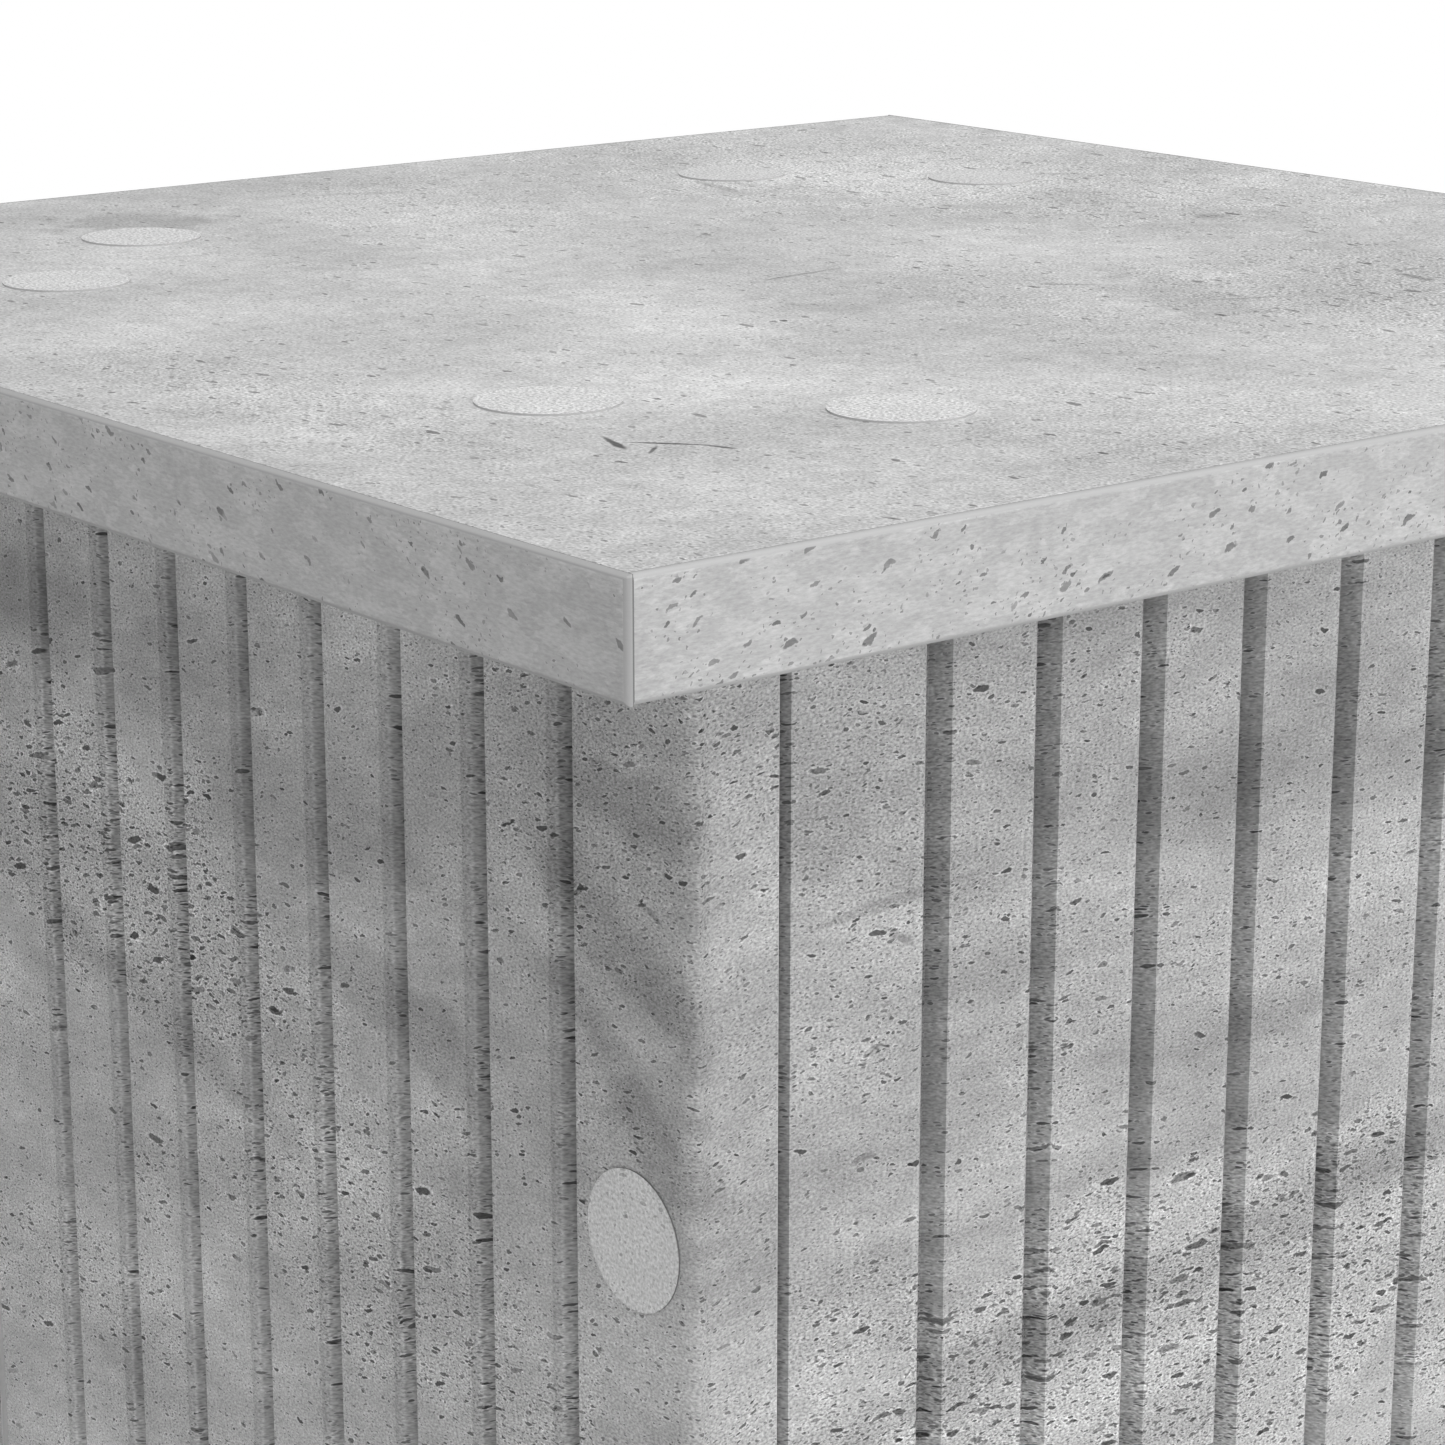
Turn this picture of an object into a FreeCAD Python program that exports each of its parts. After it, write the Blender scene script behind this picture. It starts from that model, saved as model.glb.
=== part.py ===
import FreeCAD, Part
import math
import os
import Sketcher

# Square flat-pack side table in concrete-look decor board, in millimetres.
#
# A square top overhangs a hollow square base of four identical fluted panels.  Each panel's
# right-hand end, seen from outside, covers the left-hand end of the next panel, so one panel
# shape serves all four sides.  Countersunk screws hold the top and the corners, round stickers
# cover their heads, dowels line the corners up, and a nailed glide stands under each corner.
#
# Origin: centre of the base on the floor.  +Z up, the front is -Y and the right-hand side is +X.
# Every sub-part is modelled at the front, or at the front right corner, and turned about Z to
# its own side.

SIDES = ["front", "right", "back", "left"]
CORNERS = ["front_right", "back_right", "back_left", "front_left"]
QUARTER_TURN = 90

SIZES = [
    ("total_height", 500),             # floor to the top's upper face
    ("top_width", 300),                # over the edge bands
    ("top_thickness", 15),
    ("band_thickness", 1),             # edge band glued round the top board
    ("band_edge_radius", 0.8),
    ("seam_chamfer", 0.15),            # trims the top board's upper edges beside the bands
    ("base_width", 210),               # over the outer faces of the panels
    ("panel_thickness", 14),
    ("corner_radius", 3),              # each panel's exposed vertical edge
    ("rib_pitch", 20),
    ("groove_width", 4.2),
    ("groove_depth", 4.6),
    ("rib_edge_radius", 1),            # the rounded side of each groove's mouth
    ("end_rib_width", 26),             # from a panel's right-hand end to its first groove
    ("least_rib_width", 12),           # narrowest rib left beside the rebate
    ("rebate_width", 2),               # shadow gap along a panel's left-hand end
    ("screw_length", 50),
    ("screw_head_diameter", 10),
    ("screw_neck_diameter", 7),
    ("screw_neck_clearance", 2),       # from the neck's end to the far face of the thinner board
    ("screw_core_diameter", 5),        # the thread's core, which the pilot holes fit
    ("screw_tip_length", 3),
    ("screw_tip_diameter", 2),
    ("socket_width", 4),               # across the flats of the hexagon socket
    ("socket_depth", 3),
    ("top_screw_spacing", 128),
    ("top_screw_wall", 0.6),           # wood between a groove's floor and a top screw
    ("corner_screw_end_distance", 94),  # from a panel's upper or lower end
    ("sticker_diameter", 20),
    ("sticker_thickness", 0.3),
    ("corner_sticker_inset", 13.2),    # from the corner to a sticker's centre
    ("dowel_wall", 0.7),               # wood between a dowel and the faces of its web
    ("dowel_length", 30),
    ("dowel_chamfer", 1),
    ("dowel_seat_depth", 8),           # how far a dowel stands in the covering panel
    ("dowel_end_gap", 1),              # room for glue past each end of a dowel
    ("glide_height", 4),
    ("glide_margin", 0.5),             # from a glide's rim to the edges of the panel's end
    ("glide_edge_radius", 1),
    ("nail_head_diameter", 5),
    ("nail_head_thickness", 1),
    ("nail_head_recess", 1),           # from the floor up to the nail's head
    ("nail_diameter", 2),
    ("nail_length", 18),
]

# Places that several sub-parts share, as expressions on the sheet.
HALF_BASE = "Sizes.base_width / 2"
INNER_FACE = "(Sizes.base_width / 2 - Sizes.panel_thickness)"
PANEL_TOP = "(Sizes.total_height - Sizes.top_thickness)"
PANEL_HEIGHT = "(Sizes.total_height - Sizes.top_thickness - Sizes.glide_height)"
PANEL_WIDTH = "(Sizes.base_width - Sizes.panel_thickness)"
BOARD_WIDTH = "(Sizes.top_width - 2 * Sizes.band_thickness)"
GROOVE_COUNT = (
    "floor((Sizes.base_width - Sizes.panel_thickness - Sizes.rebate_width"
    " - Sizes.least_rib_width - Sizes.end_rib_width - Sizes.groove_width)"
    " / Sizes.rib_pitch) + 1"
)
# Screws and dowels in a panel's end run in the middle of the wood behind the grooves.
WEB_INSET = "(Sizes.groove_depth + Sizes.panel_thickness) / 2"
TOP_SCREW_INSET = (
    "(Sizes.groove_depth + Sizes.top_screw_wall + Sizes.screw_core_diameter / 2)"
)
LOW_SCREW_HEIGHT = "(Sizes.glide_height + Sizes.corner_screw_end_distance)"
SCREW_STEP = f"({PANEL_HEIGHT} / 2 - Sizes.corner_screw_end_distance)"
LOW_DOWEL_HEIGHT = f"({LOW_SCREW_HEIGHT} + {SCREW_STEP} / 2)"
GLIDE_INSET = "Sizes.panel_thickness / 2"
GLIDE_DIAMETER = "(Sizes.panel_thickness - 2 * Sizes.glide_margin)"
DOWEL_DIAMETER = "(Sizes.panel_thickness - Sizes.groove_depth - 2 * Sizes.dowel_wall)"
SCREW_NECK_END = (
    "(min(Sizes.top_thickness; Sizes.panel_thickness) - Sizes.screw_neck_clearance)"
)
HEAD_HEIGHT = "(Sizes.screw_head_diameter - Sizes.screw_neck_diameter) / 2"
COUNTERSINK_ANGLE = 90
OVERCUT = "1"                          # how far a cutter starts outside the wood
ROUGH_SPREAD = 10.0                    # a sketch's first guess, which its constraints replace
TOUCH = 1e-6                           # places closer than this are the same

doc = FreeCAD.newDocument("SideTable")
sheet = doc.addObject("Spreadsheet::Sheet", "Sizes")
for row, (alias, number) in enumerate(SIZES, start=1):
    sheet.set(f"A{row}", alias)
    sheet.set(f"B{row}", str(number))
    sheet.setAlias(f"B{row}", alias)
doc.recompute()

subparts = []


def bind(item, expressions):
    """Bind each property of item to its expression on the sheet."""
    for property_name, expression in expressions.items():
        item.setExpression(property_name, expression)


def finish_subpart(item, label, turns=0):
    """Name a finished sub-part after its node and turn it about Z to its own side."""
    item.Label = label
    rotation = FreeCAD.Rotation(FreeCAD.Vector(0, 0, 1), QUARTER_TURN * turns)
    item.Placement = FreeCAD.Placement(FreeCAD.Vector(0, 0, 0), rotation)
    subparts.append(item)


# --- sketches -------------------------------------------------------------------------------

def new_sketch(body, name, role, offset):
    """A sketch on one of the body's origin planes, its origin moved by three expressions."""
    sketch = body.newObject("Sketcher::SketchObject", name)
    plane = next(f for f in body.Origin.OriginFeatures if f.Role == role)
    sketch.AttachmentSupport = [(plane, "")]
    sketch.MapMode = "FlatFace"
    for axis, expression in zip("xyz", offset):
        sketch.setExpression(f"AttachmentOffset.Base.{axis}", expression)
    return sketch


def dimension(sketch, kind, first, first_point, second, second_point, expression):
    """Hold the distance from one sketch point to another at an expression."""
    constraint = Sketcher.Constraint(kind, first, first_point, second, second_point, 1.0)
    index = sketch.addConstraint(constraint)
    sketch.setExpression(f"Constraints[{index}]", expression)


def join_loop(sketch, count):
    """Join the ends of geometry 0 to count - 1 into one closed loop."""
    for index in range(count):
        following = (index + 1) % count
        sketch.addConstraint(Sketcher.Constraint("Coincident", index, 2, following, 1))


def draw_rectangle(sketch, width, height):
    """A rectangle with its lower left corner on the sketch's origin."""
    corners = [FreeCAD.Vector(*point) for point in [(0, 0), (1, 0), (1, 1), (0, 1)]]
    for index, corner in enumerate(corners):
        sketch.addGeometry(Part.LineSegment(corner, corners[(index + 1) % 4]), False)
    join_loop(sketch, 4)
    for index, direction in enumerate(["Horizontal", "Vertical"] * 2):
        sketch.addConstraint(Sketcher.Constraint(direction, index))
    sketch.addConstraint(Sketcher.Constraint("Coincident", 0, 1, -1, 1))
    dimension(sketch, "DistanceX", 0, 1, 0, 2, width)
    dimension(sketch, "DistanceY", 1, 1, 1, 2, height)


def draw_circle_row(sketch, diameter, distances, kind):
    """Circles in a row: the first on the sketch's origin, the others at their distances.

    kind is DistanceX for a row along the sketch's X axis, or DistanceY for one along its Y.
    """
    row_axis = {"DistanceX": -1, "DistanceY": -2}[kind]
    for index, distance in enumerate([None] + distances):
        spread = ROUGH_SPREAD * index
        if kind == "DistanceX":
            centre = FreeCAD.Vector(spread, 0)
        else:
            centre = FreeCAD.Vector(0, spread)
        sketch.addGeometry(Part.Circle(centre, FreeCAD.Vector(0, 0, 1), 1.0), False)
        size = sketch.addConstraint(Sketcher.Constraint("Diameter", index, 2.0))
        sketch.setExpression(f"Constraints[{size}]", diameter)
        if distance is None:
            sketch.addConstraint(Sketcher.Constraint("Coincident", index, 3, -1, 1))
            continue
        sketch.addConstraint(Sketcher.Constraint("PointOnObject", index, 3, row_axis))
        dimension(sketch, kind, -1, 1, index, 3, distance)


def draw_groove(sketch):
    """A groove's section: X along the panel from the mouth's left side, Y into the wood.

    The left side of the mouth is the right-hand edge of a rib, and is rounded.
    """
    radius = float(sheet.get("rib_edge_radius"))
    width = float(sheet.get("groove_width"))
    depth = float(sheet.get("groove_depth"))
    outside = -float(OVERCUT)
    outline = [(-radius, outside), (-radius, 0), (0, radius), (0, depth), (width, depth),
               (width, outside)]
    points = [FreeCAD.Vector(*point) for point in outline]
    whole_circle = Part.Circle(FreeCAD.Vector(-radius, radius), FreeCAD.Vector(0, 0, 1), radius)
    rounding = Part.ArcOfCircle(whole_circle, -math.pi / 2, 0)
    for index, point in enumerate(points):
        following = points[(index + 1) % len(points)]
        shape = rounding if index == 1 else Part.LineSegment(point, following)
        sketch.addGeometry(shape, False)
    join_loop(sketch, len(points))
    for index, direction in [(0, "Vertical"), (2, "Vertical"), (3, "Horizontal"),
                             (4, "Vertical"), (5, "Horizontal")]:
        sketch.addConstraint(Sketcher.Constraint(direction, index))
    sketch.addConstraint(Sketcher.Constraint("Vertical", 1, 1, 1, 3))
    sketch.addConstraint(Sketcher.Constraint("Horizontal", 1, 2, 1, 3))
    dimension(sketch, "DistanceX", 1, 3, -1, 1, "Sizes.rib_edge_radius")
    dimension(sketch, "DistanceY", -1, 1, 1, 3, "Sizes.rib_edge_radius")
    dimension(sketch, "DistanceX", 3, 1, 3, 2, "Sizes.groove_width")
    dimension(sketch, "DistanceY", -1, 1, 3, 1, "Sizes.groove_depth")
    dimension(sketch, "DistanceY", 0, 1, -1, 1, OVERCUT)
    radius_constraint = sketch.addConstraint(Sketcher.Constraint("Radius", 1, radius))
    sketch.setExpression(f"Constraints[{radius_constraint}]", "Sizes.rib_edge_radius")


# --- features -------------------------------------------------------------------------------

def add_pad(body, sketch, length):
    pad = body.newObject("PartDesign::Pad", f"{sketch.Name}_pad")
    pad.Profile = sketch
    pad.setExpression("Length", length)
    return pad


def add_pocket(body, sketch, length=None, along_normal=False):
    """Cut a sketch to a depth, or all the way through when no depth is given."""
    solid_before = body.Tip
    pocket = body.newObject("PartDesign::Pocket", f"{sketch.Name}_pocket")
    pocket.Profile = sketch
    pocket.Reversed = along_normal
    if length is None:
        pocket.Type = "ThroughAll"
    else:
        pocket.setExpression("Length", length)
    cuts.append((pocket, solid_before))
    return pocket


def add_screw_holes(body, sketch):
    """Countersunk clearance holes through the wood, one at each circle of the sketch."""
    solid_before = body.Tip
    doc.recompute()
    hole = body.newObject("PartDesign::Hole", f"{sketch.Name}_hole")
    hole.Profile = sketch
    hole.DepthType = "ThroughAll"
    hole.ThreadType = "None"
    hole.HoleCutType = "Countersink"
    hole.HoleCutCountersinkAngle = COUNTERSINK_ANGLE
    hole.setExpression("Diameter", "Sizes.screw_neck_diameter")
    hole.setExpression("HoleCutDiameter", "Sizes.screw_head_diameter")
    cuts.append((hole, solid_before))
    return hole


def add_fillet(body, base, edge_names, radius):
    fillet = body.newObject("PartDesign::Fillet", f"{base.Name}_fillet")
    fillet.Base = (base, edge_names)
    fillet.setExpression("Radius", radius)
    return fillet


def edges_where(feature, test):
    """Names of the feature's edges whose centre passes the test."""
    doc.recompute()
    edges = enumerate(feature.Shape.Edges, start=1)
    return [f"Edge{index}" for index, edge in edges if test(edge.CenterOfMass)]


cuts = []                              # each cutting feature, with the solid it cuts


# --- boards ---------------------------------------------------------------------------------

def make_top_board():
    body = doc.addObject("PartDesign::Body", "TopBoard")
    half_board = f"-{BOARD_WIDTH} / 2"
    outline = new_sketch(body, "TopOutline", "XY_Plane", (half_board, half_board, PANEL_TOP))
    draw_rectangle(outline, BOARD_WIDTH, BOARD_WIDTH)
    pad = add_pad(body, outline, "Sizes.top_thickness")
    doc.recompute()
    upper_face = pad.Shape.BoundBox.ZMax

    def is_upper_edge(centre):
        return abs(centre.z - upper_face) < TOUCH

    chamfer = body.newObject("PartDesign::Chamfer", "SeamChamfer")
    chamfer.Base = (pad, edges_where(pad, is_upper_edge))
    chamfer.setExpression("Size", "Sizes.seam_chamfer")
    cuts.append((chamfer, pad))

    row_start = ("-Sizes.top_screw_spacing / 2", f"-({HALF_BASE}) + {TOP_SCREW_INSET}",
                 "Sizes.total_height")
    centres = new_sketch(body, "TopScrewCentres", "XY_Plane", row_start)
    draw_circle_row(centres, "Sizes.screw_neck_diameter", ["Sizes.top_screw_spacing"],
                    "DistanceX")
    holes = add_screw_holes(body, centres)

    pattern = body.newObject("PartDesign::PolarPattern", "TopScrewSides")
    pattern.Originals = [holes]
    z_axis = next(f for f in body.Origin.OriginFeatures if f.Role == "Z_Axis")
    pattern.Axis = (z_axis, [""])
    pattern.Angle = 360
    pattern.Occurrences = len(SIDES)
    body.Tip = pattern
    cuts.append((pattern, holes))
    finish_subpart(body, "top_board")


def make_edge_band(turns, side):
    """One edge band; the front and back ones also cover the ends of the other two."""
    covers_ends = side in ("front", "back")
    length = "Sizes.top_width" if covers_ends else BOARD_WIDTH
    body = doc.addObject("PartDesign::Body", f"Band{side.capitalize()}")
    start = (f"-{length} / 2", "-Sizes.top_width / 2", PANEL_TOP)
    outline = new_sketch(body, f"BandOutline{turns}", "XY_Plane", start)
    draw_rectangle(outline, length, "Sizes.band_thickness")
    pad = add_pad(body, outline, "Sizes.top_thickness")
    doc.recompute()
    outer_face = pad.Shape.BoundBox.YMin
    middle_height = (pad.Shape.BoundBox.ZMin + pad.Shape.BoundBox.ZMax) / 2

    def is_rounded(centre):
        on_outer_face = abs(centre.y - outer_face) < TOUCH
        is_upright = abs(centre.z - middle_height) < TOUCH
        return on_outer_face and (covers_ends or not is_upright)

    add_fillet(body, pad, edges_where(pad, is_rounded), "Sizes.band_edge_radius")
    finish_subpart(body, f"{side}_edge_band", turns)


def make_panel(turns, side):
    """A fluted side panel, modelled as the front one, with the holes that all four share."""
    name = side.capitalize()
    body = doc.addObject("PartDesign::Body", f"Panel{name}")
    left_end = f"-{INNER_FACE}"
    outer_face = f"-{HALF_BASE}"

    def sketch_on(role, part_name, offset):
        return new_sketch(body, f"{part_name}{name}", role, offset)

    outline = sketch_on("XY_Plane", "Outline", (left_end, outer_face, "Sizes.glide_height"))
    draw_rectangle(outline, PANEL_WIDTH, "Sizes.panel_thickness")
    pad = add_pad(body, outline, PANEL_HEIGHT)
    doc.recompute()
    box = pad.Shape.BoundBox

    def is_exposed_corner(centre):
        return abs(centre.x - box.XMax) < TOUCH and abs(centre.y - box.YMin) < TOUCH

    add_fillet(body, pad, edges_where(pad, is_exposed_corner), "Sizes.corner_radius")

    last_groove = f"({GROOVE_COUNT} - 1) * Sizes.rib_pitch"
    groove_left = (f"{HALF_BASE} - Sizes.end_rib_width - Sizes.groove_width"
                   f" - {last_groove}")
    groove = sketch_on("XY_Plane", "Groove", (groove_left, outer_face, "Sizes.glide_height"))
    draw_groove(groove)
    groove_cut = add_pocket(body, groove, along_normal=True)
    pattern = body.newObject("PartDesign::LinearPattern", f"Grooves{name}")
    pattern.Originals = [groove_cut]
    x_axis = next(f for f in body.Origin.OriginFeatures if f.Role == "X_Axis")
    pattern.Direction = (x_axis, [""])
    pattern.setExpression("Length", last_groove)
    pattern.setExpression("Occurrences", GROOVE_COUNT)
    body.Tip = pattern
    cuts.append((pattern, groove_cut))

    rebate_start = (f"{left_end} - {OVERCUT}", f"{outer_face} - {OVERCUT}",
                    "Sizes.glide_height")
    rebate = sketch_on("XY_Plane", "Rebate", rebate_start)
    draw_rectangle(rebate, f"Sizes.rebate_width + {OVERCUT}",
                   f"Sizes.groove_depth + {OVERCUT}")
    add_pocket(body, rebate, along_normal=True)

    top_pilots = sketch_on("XY_Plane", "TopPilots",
                           ("-Sizes.top_screw_spacing / 2",
                            f"{outer_face} + {TOP_SCREW_INSET}", PANEL_TOP))
    draw_circle_row(top_pilots, "Sizes.screw_core_diameter", ["Sizes.top_screw_spacing"],
                    "DistanceX")
    add_pocket(body, top_pilots, "Sizes.screw_length - Sizes.top_thickness")

    covering_end = f"{HALF_BASE} - {WEB_INSET}"
    covered_end = f"-({HALF_BASE}) + {WEB_INSET}"
    screw_steps = [SCREW_STEP, f"2 * {SCREW_STEP}"]
    clearance = sketch_on("XZ_Plane", "CornerScrews",
                          (covering_end, LOW_SCREW_HEIGHT, HALF_BASE))
    draw_circle_row(clearance, "Sizes.screw_neck_diameter", screw_steps, "DistanceY")
    add_screw_holes(body, clearance)

    end_pilots = sketch_on("YZ_Plane", "EndPilots", (covered_end, LOW_SCREW_HEIGHT, left_end))
    draw_circle_row(end_pilots, "Sizes.screw_core_diameter", screw_steps, "DistanceY")
    add_pocket(body, end_pilots, "Sizes.screw_length - Sizes.panel_thickness",
               along_normal=True)

    seats = sketch_on("XZ_Plane", "DowelSeats", (covering_end, LOW_DOWEL_HEIGHT, INNER_FACE))
    draw_circle_row(seats, DOWEL_DIAMETER, [SCREW_STEP], "DistanceY")
    add_pocket(body, seats, "Sizes.dowel_seat_depth + Sizes.dowel_end_gap", along_normal=True)

    end_seats = sketch_on("YZ_Plane", "EndSeats", (covered_end, LOW_DOWEL_HEIGHT, left_end))
    draw_circle_row(end_seats, DOWEL_DIAMETER, [SCREW_STEP], "DistanceY")
    add_pocket(body, end_seats,
               "Sizes.dowel_length - Sizes.dowel_seat_depth + Sizes.dowel_end_gap",
               along_normal=True)

    nail_hole = sketch_on("XY_Plane", "NailHole",
                          (f"{HALF_BASE} - {GLIDE_INSET}", f"{outer_face} + {GLIDE_INSET}",
                           "Sizes.glide_height"))
    draw_circle_row(nail_hole, "Sizes.nail_diameter", [], "DistanceX")
    add_pocket(body, nail_hole,
               "Sizes.nail_head_recess + Sizes.nail_length - Sizes.glide_height",
               along_normal=True)
    finish_subpart(body, f"{side}_panel", turns)


# --- hardware -------------------------------------------------------------------------------

def cylinder(name, diameter, height, base="0"):
    """A cylinder about Z that starts at a height."""
    item = doc.addObject("Part::Cylinder", name)
    bind(item, {"Radius": f"{diameter} / 2", "Height": height, "Placement.Base.z": base})
    return item


def cone(name, low_diameter, high_diameter, height, base):
    """A cone about Z that starts at a height."""
    item = doc.addObject("Part::Cone", name)
    bind(item, {"Radius1": f"{low_diameter} / 2", "Radius2": f"{high_diameter} / 2",
                "Height": height, "Placement.Base.z": base})
    return item


def fuse(name, items):
    item = doc.addObject("Part::MultiFuse", name)
    item.Shapes = items
    return item


def cut(name, base, tool):
    item = doc.addObject("Part::Cut", name)
    item.Base = base
    item.Tool = tool
    return item


def make_screw():
    """A countersunk connector screw that points down, its head's flat face at the origin.

    The thread is a plain cylinder of its core's size, which fills the pilot hole.
    """
    head = cone("ScrewHead", "Sizes.screw_neck_diameter", "Sizes.screw_head_diameter",
                HEAD_HEIGHT, f"-{HEAD_HEIGHT}")
    neck = cylinder("ScrewNeck", "Sizes.screw_neck_diameter",
                    f"{SCREW_NECK_END} - {HEAD_HEIGHT}", f"-{SCREW_NECK_END}")
    core = cylinder("ScrewCore", "Sizes.screw_core_diameter",
                    f"Sizes.screw_length - Sizes.screw_tip_length - {SCREW_NECK_END}",
                    "Sizes.screw_tip_length - Sizes.screw_length")
    tip = cone("ScrewTip", "Sizes.screw_tip_diameter", "Sizes.screw_core_diameter",
               "Sizes.screw_tip_length", "-Sizes.screw_length")
    socket = doc.addObject("Part::Prism", "ScrewSocket")
    socket.Polygon = 6
    bind(socket, {"Circumradius": "Sizes.socket_width / sqrt(3)",
                  "Height": f"Sizes.socket_depth + {OVERCUT}",
                  "Placement.Base.z": "-Sizes.socket_depth"})
    return cut("Screw", fuse("ScrewBlank", [head, neck, core, tip]), socket)


def make_sticker():
    """A round cover sticker that lies on the plane through the origin."""
    return cylinder("Sticker", "Sizes.sticker_diameter", "Sizes.sticker_thickness")


def make_dowel():
    """A chamfered wood dowel that stands on the origin.  Part's chamfers take plain numbers."""
    peg = cylinder("DowelPeg", DOWEL_DIAMETER, "Sizes.dowel_length")
    doc.recompute()
    dowel = doc.addObject("Part::Chamfer", "Dowel")
    dowel.Base = peg
    chamfer = float(sheet.get("dowel_chamfer"))
    rims = [index for index, edge in enumerate(peg.Shape.Edges, start=1)
            if isinstance(edge.Curve, Part.Circle)]
    dowel.Edges = [(index, chamfer, chamfer) for index in rims]
    return dowel


def place_copies(original, label, turns, places, tilt_axis=None, tilt=0):
    """A group of copies of one piece, each at three expressions, as separate solids."""
    copies = []
    for number, place in enumerate(places, start=1):
        link = doc.addObject("App::Link", f"{label}_{number}")
        link.LinkedObject = original
        if tilt_axis is not None:
            rotation = FreeCAD.Rotation(tilt_axis, tilt)
            link.Placement = FreeCAD.Placement(FreeCAD.Vector(0, 0, 0), rotation)
        bind(link, {f"Placement.Base.{axis}": expression
                    for axis, expression in zip("xyz", place)})
        copies.append(link)
    group = doc.addObject("Part::Compound", f"{label}_group")
    group.Links = copies
    finish_subpart(group, label, turns)


def make_glide(turns, corner):
    """A plastic glide and the nail that holds it under one corner."""
    name = corner.title().replace("_", "")
    place = {"Placement.Base.x": f"{HALF_BASE} - {GLIDE_INSET}",
             "Placement.Base.y": f"-({HALF_BASE}) + {GLIDE_INSET}"}

    def centred(item):
        bind(item, place)
        return item

    def make_nail(prefix):
        head = centred(cylinder(f"{prefix}Head{name}", "Sizes.nail_head_diameter",
                                "Sizes.nail_head_thickness", "Sizes.nail_head_recess"))
        shank = centred(cylinder(f"{prefix}Shank{name}", "Sizes.nail_diameter",
                                 "Sizes.nail_length", "Sizes.nail_head_recess"))
        return fuse(f"{prefix}{name}", [head, shank])

    disc = centred(cylinder(f"GlideDisc{name}", GLIDE_DIAMETER,
                            "Sizes.glide_height"))
    doc.recompute()
    rounded = doc.addObject("Part::Fillet", f"GlideRounded{name}")
    rounded.Base = disc
    radius = float(sheet.get("glide_edge_radius"))
    floor_rims = [index for index, edge in enumerate(disc.Shape.Edges, start=1)
                  if isinstance(edge.Curve, Part.Circle) and edge.CenterOfMass.z < TOUCH]
    rounded.Edges = [(index, radius, radius) for index in floor_rims]
    access = centred(cylinder(f"NailAccess{name}", "Sizes.nail_head_diameter",
                              f"Sizes.nail_head_recess + {OVERCUT}", f"-{OVERCUT}"))
    seat = fuse(f"NailSeat{name}", [make_nail("NailCutter"), access])
    finish_subpart(cut(f"Glide{name}", rounded, seat), f"{corner}_glide", turns)
    finish_subpart(make_nail("Nail"), f"{corner}_glide_nail", turns)


# --- assembly -------------------------------------------------------------------------------

make_top_board()
for turns, side in enumerate(SIDES):
    make_edge_band(turns, side)
    make_panel(turns, side)

screw = make_screw()
sticker = make_sticker()
dowel = make_dowel()
x_direction = FreeCAD.Vector(1, 0, 0)

top_row = [(f"{sign} Sizes.top_screw_spacing / 2", f"-({HALF_BASE}) + {TOP_SCREW_INSET}",
            "Sizes.total_height") for sign in ("-", "")]
screw_heights = [f"{LOW_SCREW_HEIGHT} + {step} * {SCREW_STEP}" for step in range(3)]
dowel_heights = [f"{LOW_DOWEL_HEIGHT} + {step} * {SCREW_STEP}" for step in range(2)]
corner_screw_row = [(f"{HALF_BASE} - {WEB_INSET}", f"-{HALF_BASE}", height)
                    for height in screw_heights]
corner_sticker_row = [(f"{HALF_BASE} - Sizes.corner_sticker_inset", f"-{HALF_BASE}", height)
                      for height in screw_heights]
dowel_row = [(f"{HALF_BASE} - {WEB_INSET}",
              f"-{INNER_FACE} - Sizes.dowel_seat_depth", height)
             for height in dowel_heights]

for turns, side in enumerate(SIDES):
    place_copies(screw, f"{side}_top_screws", turns, top_row)
    place_copies(sticker, f"{side}_top_stickers", turns, top_row)
for turns, corner in enumerate(CORNERS):
    place_copies(screw, f"{corner}_screws", turns, corner_screw_row, x_direction, 90)
    place_copies(sticker, f"{corner}_stickers", turns, corner_sticker_row, x_direction, 90)
    place_copies(dowel, f"{corner}_dowels", turns, dowel_row, x_direction, -90)
    make_glide(turns, corner)

doc.recompute()

# --- checks and export ----------------------------------------------------------------------

for item in doc.Objects:
    if "Invalid" in item.State or "Error" in item.State:
        raise RuntimeError(f"{item.Label} failed: {item.State}")
for feature, solid_before in cuts:
    if feature.Shape.Volume >= solid_before.Shape.Volume:
        raise RuntimeError(f"{feature.Name} cuts nothing")
for item in subparts:
    if item.Shape.isNull() or not item.Shape.isValid():
        raise RuntimeError(f"{item.Label} has no valid shape")

os.makedirs("parts", exist_ok=True)
for item in subparts:
    item.Shape.exportStep(f"parts/{item.Label}.step")
print(f"{len(subparts)} sub-parts written")
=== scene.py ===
import math

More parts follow.
